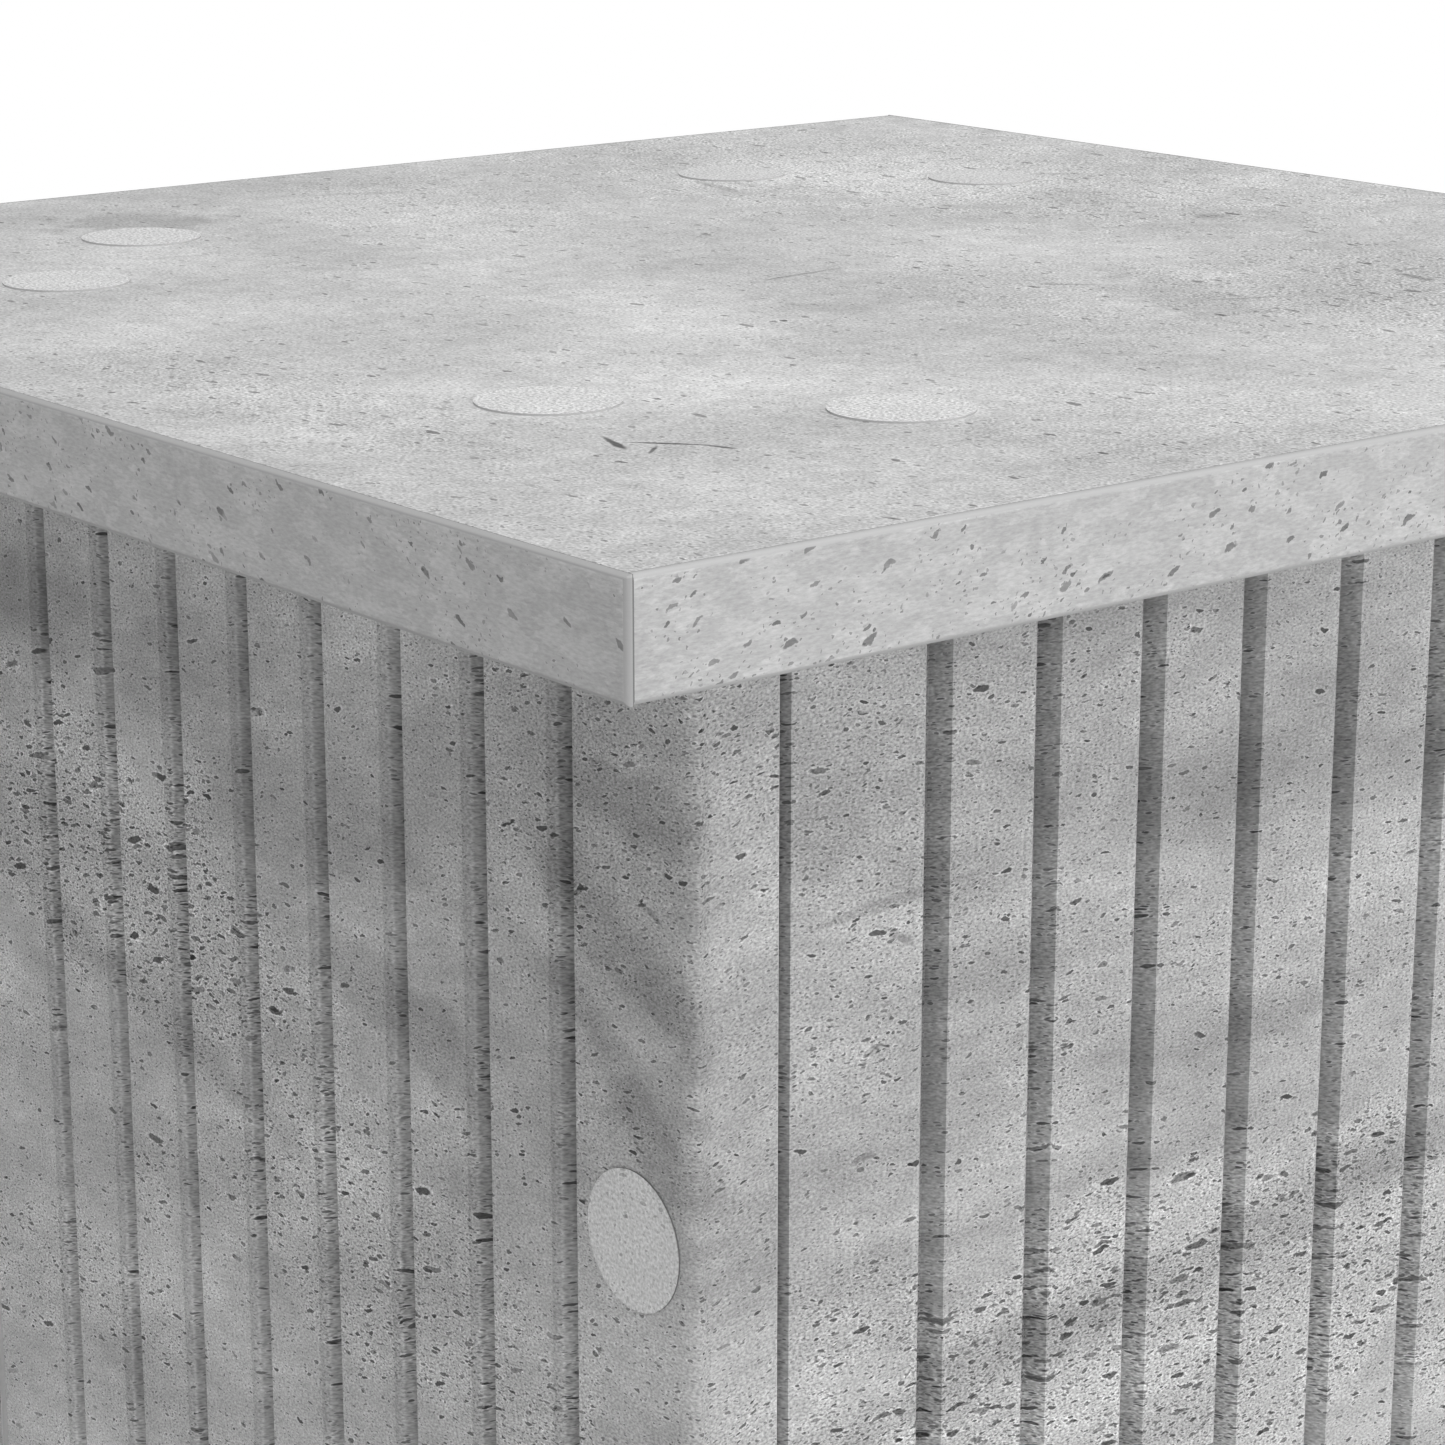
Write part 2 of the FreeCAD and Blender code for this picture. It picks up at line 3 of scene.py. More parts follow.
import bpy
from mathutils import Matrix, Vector


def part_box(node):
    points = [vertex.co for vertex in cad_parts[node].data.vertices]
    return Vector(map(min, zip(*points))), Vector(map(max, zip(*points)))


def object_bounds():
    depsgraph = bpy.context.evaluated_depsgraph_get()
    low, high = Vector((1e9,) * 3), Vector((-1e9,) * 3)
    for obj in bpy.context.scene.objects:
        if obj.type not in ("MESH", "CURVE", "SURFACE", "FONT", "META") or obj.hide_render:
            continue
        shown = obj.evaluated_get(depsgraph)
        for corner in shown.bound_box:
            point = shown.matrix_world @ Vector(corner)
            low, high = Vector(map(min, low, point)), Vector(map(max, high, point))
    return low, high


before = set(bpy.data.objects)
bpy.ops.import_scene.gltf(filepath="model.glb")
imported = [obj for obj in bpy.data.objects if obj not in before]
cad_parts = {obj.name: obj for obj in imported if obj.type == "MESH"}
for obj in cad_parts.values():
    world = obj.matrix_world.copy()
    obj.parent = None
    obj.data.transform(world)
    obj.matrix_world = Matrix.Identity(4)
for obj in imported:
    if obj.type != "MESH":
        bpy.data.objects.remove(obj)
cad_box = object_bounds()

# The looks of a square side table in concrete decor.  Every shape is the CAD frame's own; this
# script gives each node its material, and sets the floor, the lights and the camera.
# Lengths are in metres, except inside the decor materials, which work in millimetres.

SIDES = ["front", "right", "back", "left"]
CORNERS = ["front_right", "back_right", "back_left", "front_left"]
QUARTER_TURN = math.pi / 2
MM_PER_M = 1000.0


# --- node helpers -----------------------------------------------------------------------------

class Shader:
    """A material and the few node shorthands that its maps need.

    Any argument that feeds a node may be a number, a tuple or another node's output.
    """

    def __init__(self, name):
        self.material = bpy.data.materials.new(name)
        self.material.use_nodes = True
        self.tree = self.material.node_tree
        self.tree.nodes.clear()

    def add(self, kind, inputs=None, **settings):
        node = self.tree.nodes.new(kind)
        for name, value in settings.items():
            setattr(node, name, value)
        for name, value in (inputs or {}).items():
            socket = node.inputs[name]
            if isinstance(value, bpy.types.NodeSocket):
                self.tree.links.new(value, socket)
            else:
                socket.default_value = value
        return node

    def math(self, operation, first, second=0.0, third=0.5):
        node = self.add("ShaderNodeMath", {0: first, 1: second, 2: third},
                        operation=operation)
        return node.outputs[0]

    def vector_math(self, operation, first, second):
        node = self.add("ShaderNodeVectorMath", {0: first, 1: second}, operation=operation)
        return node.outputs[0]

    def scaled(self, vector, factor):
        node = self.add("ShaderNodeVectorMath", {0: vector, "Scale": factor}, operation="SCALE")
        return node.outputs[0]

    def ramp(self, value, start, end, low=0.0, high=1.0):
        """A smooth step from low, at start, to high, at end."""
        node = self.add("ShaderNodeMapRange",
                        {"Value": value, "From Min": start, "From Max": end,
                         "To Min": low, "To Max": high},
                        interpolation_type="SMOOTHSTEP")
        return node.outputs["Result"]

    def mix(self, factor, first, second):
        """first where factor is 0 and second where it is 1, as numbers."""
        node = self.add("ShaderNodeMix", {0: factor, 2: first, 3: second}, data_type="FLOAT")
        return node.outputs[0]

    def noise(self, place, period, detail=2.0, roughness=0.5, seed=0.0):
        """Noise around zero, with about one wave to a period of millimetres."""
        shifted = self.vector_math("ADD", place, (seed * 37.7, seed * 91.3, 0.0))
        node = self.add("ShaderNodeTexNoise",
                        {"Vector": shifted, "Scale": 1.0 / period, "Detail": detail,
                         "Roughness": roughness},
                        noise_dimensions="2D")
        return self.math("SUBTRACT", node.outputs["Fac"], 0.5)

    def turned(self, place, angle, stretch=(1.0, 1.0)):
        """A flat map turned by an angle and then drawn out along its own axes."""
        turn = self.add("ShaderNodeVectorRotate", {"Vector": place, "Angle": angle},
                        rotation_type="Z_AXIS")
        factors = (1.0 / stretch[0], 1.0 / stretch[1], 0.0)
        return self.vector_math("MULTIPLY", turn.outputs[0], factors)

    def finish(self, color, roughness, bump_height=None, bump_distance=0.0):
        """Close the material: a diffuse-like board with a soft gloss and an optional relief."""
        inputs = {"Base Color": color, "Roughness": roughness, "Specular IOR Level": 0.35}
        if bump_height is not None:
            bump = self.add("ShaderNodeBump", {"Height": bump_height, "Strength": 1.0,
                                               "Distance": bump_distance})
            inputs["Normal"] = bump.outputs[0]
        shader = self.add("ShaderNodeBsdfPrincipled", inputs)
        output = self.add("ShaderNodeOutputMaterial")
        self.tree.links.new(shader.outputs[0], output.inputs[0])
        return self.material

    def grey(self, value):
        """A value as a neutral colour."""
        return self.add("ShaderNodeCombineColor",
                        {"Red": value, "Green": value, "Blue": value}).outputs[0]


def to_front(shader, vector, turns):
    """The three parts of a vector, turned as if its side of the table were the front."""
    turn = shader.add("ShaderNodeVectorRotate",
                      {"Vector": vector, "Angle": -QUARTER_TURN * turns},
                      rotation_type="Z_AXIS")
    return shader.add("ShaderNodeSeparateXYZ", {0: turn.outputs[0]}).outputs[:3]


def local_place(shader, turns):
    """The place on the table in millimetres, turned so that this side faces the front."""
    coordinates = shader.add("ShaderNodeTexCoord").outputs["Object"]
    return to_front(shader, shader.scaled(coordinates, MM_PER_M), turns)


def local_normal(shader, turns):
    """The way the surface faces, turned like local_place."""
    normal = shader.add("ShaderNodeNewGeometry").outputs["Normal"]
    return to_front(shader, normal, turns)


def box_mm(node):
    """The low and high corners of a node's box in millimetres."""
    low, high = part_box(node)
    return low * MM_PER_M, high * MM_PER_M


def flat_place(shader, across, up):
    return shader.add("ShaderNodeCombineXYZ", {"X": across, "Y": up, "Z": 0.0}).outputs[0]


# --- the printed concrete decor ---------------------------------------------------------------

PRESENCE_SOFTNESS = 0.05
SMALLEST_PORE = 0.55
FAINTEST_PORE = 0.55
PORE_EDGE = (1.0, 0.75)
# Where the painted highlight ring around each pore fades in and out.
RIM_HIGHLIGHT_EDGE = (1.7, 1.1)
COARSE_POWER_STEP = 0.6
PATCH_EDGE = (1.3, 0.5)


def shaded(shader, value, factor, amount):
    """value times (1 + factor * amount), which lightens or darkens it."""
    return shader.math("MULTIPLY", value, shader.math("MULTIPLY_ADD", factor, amount, 1.0))


def wandering(shader, place, seed, period=5.0, reach=2.2):
    """The place pushed about by a field that is as uneven at one scale as at the next."""
    shifted = shader.vector_math("ADD", place, (seed * 29.1, seed * 53.7, 0.0))
    field = shader.add("ShaderNodeTexNoise",
                       {"Vector": shifted, "Scale": 1.0 / period, "Detail": 4.0,
                        "Roughness": 0.5}, noise_dimensions="2D")
    push = shader.vector_math("SUBTRACT", field.outputs["Color"], (0.5, 0.5, 0.5))
    return shader.vector_math("ADD", place, shader.scaled(push, reach))


def pores(shader, place, cell, size, share, stretch, seed):
    """Printed air holes: at most one in each cell of a drawn-out grid.

    share is the part of the cells that have one, and may vary over the surface.
    Returns the holes, each with its own depth of tone, and pale rims just outside them: a painted
    highlight where light would catch the holes' embossed edges.
    """
    drawn = shader.vector_math("MULTIPLY", place, (1.0 / stretch, 1.0, 0.0))
    shifted = shader.vector_math("ADD", drawn, (seed * 17.3, seed * 41.9, 0.0))
    cells = shader.add("ShaderNodeTexVoronoi",
                       {"Vector": shifted, "Scale": 1.0 / cell, "Randomness": 1.0},
                       voronoi_dimensions="2D", feature="F1")
    chance = shader.add("ShaderNodeSeparateColor", {0: cells.outputs["Color"]}).outputs
    spare = shader.math("SUBTRACT", share, chance[0])
    present = shader.ramp(spare, 0.0, PRESENCE_SOFTNESS)
    bigness = shader.math("MULTIPLY", chance[1], chance[1])
    radius = shader.math("MULTIPLY", shader.mix(bigness, SMALLEST_PORE, 1.0), size / cell)
    distance = shader.math("DIVIDE", cells.outputs["Distance"], radius)
    depth = shader.math("MULTIPLY", present, shader.mix(chance[2], FAINTEST_PORE, 1.0))
    hole = shader.math("MULTIPLY", shader.ramp(distance, *PORE_EDGE), depth)
    rim_highlight = shader.math("MULTIPLY", shader.ramp(distance, *RIM_HIGHLIGHT_EDGE), depth)
    return hole, shader.math("SUBTRACT", rim_highlight, hole)


def printed_pores(shader, value, place, layers, rough, rim_highlight_strength, seed):
    """Darken value with layers of pores, and lighten it with a painted highlight ring around
    each.

    Each layer is (cell, radius, share where calm, share where rough, stretch, darkness).
    The coarser the layer, the more it keeps to the roughest places.
    """
    for number, (cell, size, calm, busy, stretch, darkness) in enumerate(layers):
        crowded = shader.math("POWER", rough, 1.0 + COARSE_POWER_STEP * number)
        share = shader.mix(crowded, calm, busy)
        hole, rim_highlight = pores(shader, place, cell, size, share, stretch, seed * 5 + number)
        # A painted highlight: the pale ring just outside each pore.
        value = shaded(shader, value, rim_highlight, rim_highlight_strength)
        value = shaded(shader, value, hole, -darkness)
    return value


def patches(shader, place, ragged, shapes):
    """The strength of the strongest of some soft patches with ragged borders.

    Each shape is (middle, half size, slope in degrees, strength).
    """
    strongest = 0.0
    for middle, half_size, slope, strength in shapes:
        offset = shader.vector_math("SUBTRACT", place, (middle[0], middle[1], 0.0))
        local = shader.turned(offset, -math.radians(slope), half_size)
        length = shader.add("ShaderNodeVectorMath", {0: local},
                            operation="LENGTH").outputs["Value"]
        reach = shader.math("ADD", length, ragged)
        patch = shader.ramp(reach, *PATCH_EDGE, 0.0, strength)
        strongest = shader.math("MAXIMUM", strongest, patch)
    return strongest


# Patches of the decor on the panels: middle, half size, slope in degrees and strength.  Places
# are across from the panel's middle and down from its top edge, in millimetres.
ROUGH = {
    "front": [((-44, -74), (66, 24), -13, 1.0), ((34, -118), (60, 22), -12, 0.7),
              ((86, -34), (34, 30), 0, 0.45),
              ((-60, -150), (40, 12), 8, 0.6), ((20, -215), (90, 18), -10, 0.9),
              ((-30, -320), (95, 24), 12, 1.0), ((50, -425), (80, 20), -8, 0.9)],
    "right": [((-20, -128), (105, 27), 1, 1.0), ((-70, -40), (30, 30), 0, 0.4),
              ((10, -70), (60, 16), -5, 0.35), ((30, -230), (80, 18), 10, 0.8),
              ((-40, -330), (90, 26), -12, 1.0), ((20, -440), (90, 18), 6, 0.9)],
    "back": [((30, -60), (70, 16), -12, 0.9), ((-40, -150), (80, 26), 9, 1.0),
             ((50, -250), (70, 20), -10, 0.8), ((-20, -360), (95, 24), 8, 1.0),
             ((30, -450), (70, 16), -6, 0.8)],
    "left": [((-50, -50), (60, 20), 10, 1.0), ((40, -130), (80, 18), -9, 0.7),
             ((-10, -230), (95, 28), 12, 1.0), ((40, -340), (70, 20), -14, 0.9),
             ((-40, -430), (80, 24), 6, 1.0)],
}
STAINED = {
    "front": [((-8, -48), (50, 16), -10, 0.13), ((38, -77), (32, 6), -14, 0.20),
              ((90, -54), (20, 7), -26, 0.30), ((92, -33), (17, 5), -6, 0.24),
              ((94, -76), (16, 6), -36, 0.30), ((80, -64), (30, 3), -24, 0.16),
              ((-60, -38), (34, 8), -8, 0.18), ((-30, -96), (44, 4), -16, 0.20),
              ((96, -47), (3.4, 0.4), -26, 0.40), ((97, -60), (6, 2.5), -30, 0.36),
              ((-20, -118), (26, 9), 12, 0.12), ((60, -180), (50, 14), 14, 0.16),
              ((-40, -260), (60, 16), -12, 0.18), ((30, -370), (70, 12), 10, 0.16)],
    "right": [((-74, -50), (22, 0.9), 4, 0.26), ((-98, -59), (9, 4), -20, 0.22),
              ((-45, -101), (44, 4), 3, 0.18), ((-20, -45), (20, 10), 4, 0.12),
              ((-70, -55), (3.6, 0.6), -30, 0.36), ((-56, -51), (9, 3), 20, 0.14),
              ((10, -82), (30, 3), 6, 0.12), ((-14, -118), (84, 5), 7, 0.26),
              ((-84, -30), (14, 14), 0, 0.16), ((-40, -62), (30, 5), 6, 0.16),
              ((40, -185), (60, 12), -8, 0.15),
              ((-50, -270), (60, 14), 12, 0.18), ((20, -390), (70, 14), -10, 0.16)],
    "back": [((-50, -40), (50, 12), 8, 0.16), ((40, -110), (50, 8), -12, 0.18),
             ((-10, -200), (70, 14), 10, 0.15), ((60, -310), (50, 12), -14, 0.18),
             ((-40, -410), (60, 12), 8, 0.16)],
    "left": [((30, -60), (60, 10), -10, 0.16), ((-50, -160), (50, 12), 12, 0.18),
             ((40, -260), (60, 16), -8, 0.15), ((-20, -350), (70, 10), 10, 0.18),
             ((40, -450), (50, 12), -12, 0.14)],
}
# Cell, radius, share where calm, share where rough, stretch along the drift, darkness.
PANEL_PORES = [(0.62, 0.20, 0.34, 1.00, 2.2, 0.68),
               (1.10, 0.31, 0.16, 0.95, 2.8, 0.84),
               (2.0, 0.46, 0.09, 0.92, 3.4, 0.90),
               (3.8, 0.70, 0.03, 0.85, 4.0, 0.88)]
# The slope in degrees that the print drifts along, and how light each panel's ground is.
DRIFT = {"front": 9, "right": -3, "back": 6, "left": -7}
PANEL_GREY = {"front": 0.42, "right": 0.360, "back": 0.42, "left": 0.385}
INSIDE_GREY = 0.62
# How light the panel's end is against the rib's face. A groove's two walls, and the lip beside
# the rounded wall, are drawn lighter or darker than the rib's face as painted light and shade, in
# place of how the grooves are lit.
END_TONE = 0.84
SQUARE_WALL_PAINTED_LIGHT = 1.32
ROUNDED_WALL_PAINTED_SHADE = 0.97
LIP_PAINTED_LIGHT_AND_SHADE = {"front": 0.79, "right": 1.07, "back": 0.84, "left": 1.05}
LIP_WIDTH = 1.9
LIP_SOFTNESS = 0.35
# How far the print moves across and down for each millimetre into a groove.
WALL_STRETCH = 0.45
WALL_SLOPE = 0.25
END_SOFTNESS = 0.6
# The grooves' places, counted from the panel's exposed end.
RIB_PITCH = 20.0
GROOVE_WIDTH = 4.2
GROOVE_OFFSET = 26.0
# The print's own measures: waves in millimetres, and how strongly each shows.
PANEL_RAGGED_WAVE = 16.0
SCATTER_WAVE = 24.0
SCATTER_STRENGTH = 0.45
PANEL_CLOUD_WAVE = 22.0
PANEL_CLOUD = 0.95
PANEL_MOTTLE_WAVE = 3.0
PANEL_MOTTLE = 0.45
PANEL_GRAIN_WAVE = 0.34
PANEL_GRAIN = (1.2, 1.9)
ROUGH_LIFT = 0.17
PANEL_CROWDING = 1.5
# How strong the painted highlight ring around each pore is.
PANEL_RIM_HIGHLIGHT = 0.24


def groove_painted_light(shader, side, normal, x, end_plane):
    """Painted light and shade on and beside a groove's two walls, as a factor on the panel's
    value, and 1 everywhere else.
    """
    square = shader.ramp(normal[0], 0.0, -0.8, 0.0, SQUARE_WALL_PAINTED_LIGHT - 1.0)
    rounded = shader.ramp(normal[0], 0.0, 0.5, 0.0, ROUNDED_WALL_PAINTED_SHADE - 1.0)
    walls = shader.math("ADD", square, rounded)
    from_wall = shader.math("SUBTRACT", end_plane - GROOVE_OFFSET - GROOVE_WIDTH, x)
    beside = shader.math("FLOORED_MODULO", from_wall, RIB_PITCH)
    # The lip: a strip of the rib's face beside the rounded wall, with a painted highlight on some
    # sides and a painted shade on others.
    far_edge = shader.ramp(beside, LIP_WIDTH, LIP_WIDTH - LIP_SOFTNESS)
    outward = shader.ramp(normal[1], -0.35, -0.75)
    lip = shader.math("MULTIPLY", shader.math("MULTIPLY", far_edge, outward),
                      LIP_PAINTED_LIGHT_AND_SHADE[side] - 1.0)
    on_ribs = shader.math("LESS_THAN", shader.math("ABSOLUTE", x), end_plane - RIB_PITCH)
    change = shader.math("MULTIPLY", shader.math("ADD", walls, lip), on_ribs)
    return shader.math("ADD", change, 1.0)


def wrapped_place(shader, x, y, z, on_end):
    """The flat map of a panel's print, wrapped on from outside.

    The print runs across the grooves and is drawn out into streaks down their walls.  Only a
    panel's exposed end has a print of its own.
    """
    low, high = box_mm("front_panel")
    depth = shader.math("SUBTRACT", y, low.y)
    aside = shader.math("MULTIPLY", depth, shader.mix(on_end, WALL_STRETCH, 1.0))
    sunk = shader.math("MULTIPLY", depth, shader.mix(on_end, WALL_SLOPE, 0.0))
    down = shader.math("SUBTRACT", z, high.z)
    return flat_place(shader, shader.math("ADD", x, aside), shader.math("ADD", down, sunk))


def panel_ground(shader, side, print_place, on_end, turns):
    """The cloudy ground of a panel's print, and its mottle."""
    stretched = shader.vector_math("MULTIPLY", print_place, (0.4, 1.0, 0.0))
    cloud = shader.noise(stretched, PANEL_CLOUD_WAVE, 5.0, 0.55, turns + 3)
    mottle = shader.noise(stretched, PANEL_MOTTLE_WAVE, 3.0, 0.65, turns + 5)
    ground = shader.mix(on_end, PANEL_GREY[side], PANEL_GREY[side] * END_TONE)
    value = shaded(shader, ground, cloud, PANEL_CLOUD)
    return shaded(shader, value, mottle, PANEL_MOTTLE), mottle


def panel_patches(shader, side, place, print_place, turns):
    """How rough and how stained the print is."""
    uneven = shader.noise(print_place, PANEL_RAGGED_WAVE, 5.0, 0.6, turns + 1)
    ragged = shader.math("MULTIPLY", uneven, 2.4)
    rough = patches(shader, place, ragged, ROUGH[side])
    scattered = shader.ramp(shader.noise(print_place, SCATTER_WAVE, 3.0, 0.6, turns + 8),
                            0.02, 0.2)
    scattered = shader.math("MULTIPLY", scattered, SCATTER_STRENGTH)
    return shader.math("MAXIMUM", rough, scattered), patches(shader, place, ragged, STAINED[side])


def panel_decor(turns, side):
    """The fluted panels: speckled grey with level drifts of dark, drawn-out pores."""
    shader = Shader(f"concrete_panel_{side}")
    low, high = box_mm("front_panel")
    x, y, z = local_place(shader, turns)
    on_end = shader.ramp(x, high.x - END_SOFTNESS, high.x)
    place = wrapped_place(shader, x, y, z, on_end)
    along = shader.turned(place, -math.radians(DRIFT[side]))
    print_place = shader.vector_math("ADD", along, (23.0 * turns, 61.0 * turns, 0.0))
    rough, stained = panel_patches(shader, side, place, print_place, turns)
    fine = shader.vector_math("MULTIPLY", print_place, (0.6, 1.0, 0.0))
    grain = shader.noise(fine, PANEL_GRAIN_WAVE, 1.0, 0.6, turns)

    value, mottle = panel_ground(shader, side, print_place, on_end, turns)
    value = shaded(shader, value, grain, shader.mix(rough, *PANEL_GRAIN))
    value = shaded(shader, value, stained, -1.0)
    value = shaded(shader, value, rough, ROUGH_LIFT)
    crowded = shader.math("MULTIPLY_ADD", mottle, PANEL_CROWDING, rough)
    crowded = shader.math("MAXIMUM", crowded, 0.0)
    warped = wandering(shader, print_place, turns)
    value = printed_pores(shader, value, warped, PANEL_PORES, crowded, PANEL_RIM_HIGHLIGHT, turns + 1)
    # Painted light and shade in the grooves: lighter and darker walls and lips.
    tone = groove_painted_light(shader, side, local_normal(shader, turns), x, high.x)
    value = shader.math("MULTIPLY", value, tone)

    inside = shader.math("GREATER_THAN", y, high.y - 0.05)
    value = shader.mix(inside, value, shaded(shader, INSIDE_GREY, grain, 0.10))
    return shader.finish(shader.grey(value), 0.62, grain, 0.00008)


# Patches of the decor on the top: places are across and back from its middle, seen from above.
TOP_ROUGH = [((85, 75), (65, 50), 40, 1.0), ((128, -40), (30, 30), 40, 0.4),
             ((-70, 100), (100, 60), 20, 1.0), ((-100, 0), (50, 26), -20, 0.6),
             ((40, 10), (50, 16), -20, 0.5), ((40, -125), (50, 16), 0, 0.5)]
TOP_STAINED = [((-113, -55), (14, 11), 60, 0.17), ((-35, 93), (11, 9), 0, 0.13),
               ((55, 30), (22, 9), -20, 0.13), ((30, -18), (12, 6), 60, 0.10),
               ((-15, 122), (12, 6), 10, 0.10), ((-2.5, 95), (3.0, 3.0), 0, 0.22),
               ((115, -115), (70, 44), 40, 0.06),
               ((-119, -5), (9, 1.6), 65, 0.16), ((2.5, -3), (9, 0.45), 96, 0.30),
               ((91, -107), (4.6, 0.55), -18, 0.62), ((96, -102), (4.6, 0.4), 42, 0.60),
               ((98, -106), (2.6, 0.35), -50, 0.55), ((102, -98), (2.4, 0.45), 20, 0.55),
               ((66, 72), (5, 1.2), -12, 0.30), ((62, 34), (13, 0.4), 66, 0.26),
               ((36, 24), (7, 0.5), 48, 0.28), ((120, 30), (12, 0.4), 58, 0.26),
               ((104, 92), (4.5, 2.6), 40, 0.26), ((-60, 112), (12, 0.5), 52, 0.24),
               ((-84, 51), (9, 1.2), -12, 0.20)]
TOP_PORES = [(0.95, 0.30, 0.26, 0.90, 1.5, 0.50), (2.1, 0.52, 0.14, 0.70, 2.0, 0.62),
             (4.8, 0.85, 0.08, 0.55, 2.6, 0.62)]
TOP_PALE = [((-90, 100), (90, 60), 10, 0.13), ((-60, -15), (48, 22), -20, 0.08),
            ((12, -36), (50, 13), -25, 0.08),
            ((128, 12), (18, 26), 30, 0.12), ((-112, 50), (28, 50), 0, 0.06),
            ((-20, 50), (40, 16), 30, 0.05), ((60, -75), (40, 12), 10, 0.05)]


TOP_GREY = 0.575
TOP_RAGGED_WAVE = 9.0
TOP_CLOUD_WAVE = 48.0
TOP_CLOUD = 0.62
TOP_MOTTLE_WAVE = 5.0
TOP_MOTTLE = 0.40
TOP_GRAIN_WAVE = 0.55
TOP_GRAIN = (1.0, 1.9)
TOP_STAIN = 1.3
TOP_CROWDING = 2.0
# How strong the painted highlight ring around each pore is.
TOP_RIM_HIGHLIGHT = 0.10
STREAK_SLOPE = 50
STREAK_WAVE = 2.2
STREAK = 0.38


def top_streaks(shader, place):
    """Faint streaks all one way across the top."""
    along = shader.turned(place, -math.radians(STREAK_SLOPE))
    streaky = shader.vector_math("MULTIPLY", along, (0.5, 1.0, 0.0))
    return shader.noise(streaky, STREAK_WAVE, 4.0, 0.7, 7)


def top_decor():
    """The top board: a finer, paler print with soft clouds, short flecks and a few cracks."""
    shader = Shader("concrete_top")
    x, y, z = local_place(shader, 0)
    place = flat_place(shader, x, y)
    ragged = shader.math("MULTIPLY", shader.noise(place, TOP_RAGGED_WAVE, 5.0, 0.65, 12), 2.6)
    rough = patches(shader, place, ragged, TOP_ROUGH)
    stained = patches(shader, place, ragged, TOP_STAINED)
    cloud = shader.noise(place, TOP_CLOUD_WAVE, 5.0, 0.6, 13)
    mottle = shader.noise(place, TOP_MOTTLE_WAVE, 3.0, 0.65, 14)
    grain = shader.noise(place, TOP_GRAIN_WAVE, 1.0, 0.6, 15)
    value = shaded(shader, TOP_GREY, cloud, TOP_CLOUD)
    value = shaded(shader, value, mottle, TOP_MOTTLE)
    value = shaded(shader, value, grain, shader.mix(rough, *TOP_GRAIN))
    value = shaded(shader, value, stained, -TOP_STAIN)
    value = shaded(shader, value, patches(shader, place, ragged, TOP_PALE), 1.0)
    value = shaded(shader, value, top_streaks(shader, place), STREAK)
    crowded = shader.math("MULTIPLY_ADD", mottle, TOP_CROWDING, rough)
    crowded = shader.math("MAXIMUM", crowded, 0.0)
    warped = wandering(shader, place, 11)
    value = printed_pores(shader, value, warped, TOP_PORES, crowded, TOP_RIM_HIGHLIGHT, 4)
    return shader.finish(shader.grey(value), 0.55, grain, 0.00005)


BAND_GREY = 0.365
BAND_PORES = [(0.8, 0.21, 0.00, 0.50, 1.6, 0.52), (1.7, 0.36, 0.04, 0.34, 2.4, 0.68),
              (3.2, 0.54, 0.20, 0.60, 2.9, 0.70)]
BAND_DRIFT = 28
BAND_OFFSET = 83.0
BAND_PATCH_WAVE = 3.2
BAND_PATCH = 0.12
BAND_CLOUD_WAVE = 14.0
BAND_CLOUD = 0.26
BAND_GRAIN_WAVE = 0.4
BAND_GRAIN = 0.50
# How strong the painted highlight ring around each pore is.
BAND_RIM_HIGHLIGHT = 0.08
# How light the scraped arris of each band is against its face: partly the plain scraped core and
# partly a painted shade that differs by side, with a painted highlight right at the top edge.
ARRIS_SCRAPED_AND_PAINTED_SHADE = {"front": 0.84, "right": 0.97, "back": 0.84, "left": 0.97}
TOP_EDGE_PAINTED_HIGHLIGHT = 1.08
ARRIS_RADIUS = 0.8
SEAM_WIDTH = 0.11
SEAM_GREY = 0.14


def band_face(shader, x, z, turns):
    """A band's print, a smooth mottled grey with dark flecks, and its grain."""
    place = flat_place(shader, shader.math("ADD", x, BAND_OFFSET * turns), z)
    slope = BAND_DRIFT if turns % 2 else -BAND_DRIFT
    warped = wandering(shader, shader.turned(place, -math.radians(slope)), 21 + turns, 1.5, 1.3)
    brushed = shader.vector_math("MULTIPLY", place, (0.3, 1.0, 0.0))
    stretched = shader.vector_math("MULTIPLY", place, (0.45, 1.0, 0.0))
    patch = shader.noise(stretched, BAND_PATCH_WAVE, 5.0, 0.65, 31 + turns)
    grain = shader.noise(brushed, BAND_GRAIN_WAVE, 2.0, 0.6, 35 + turns)
    cloud = shader.noise(place, BAND_CLOUD_WAVE, 3.0, 0.5, 33 + turns)
    face = shaded(shader, BAND_GREY, shader.ramp(patch, 0.0, 0.05), BAND_PATCH)
    face = shaded(shader, face, cloud, BAND_CLOUD)
    face = shaded(shader, face, grain, BAND_GRAIN)
    crowded = shader.ramp(cloud, -0.12, 0.12)
    return printed_pores(shader, face, warped, BAND_PORES, crowded, BAND_RIM_HIGHLIGHT, 30 + turns), grain


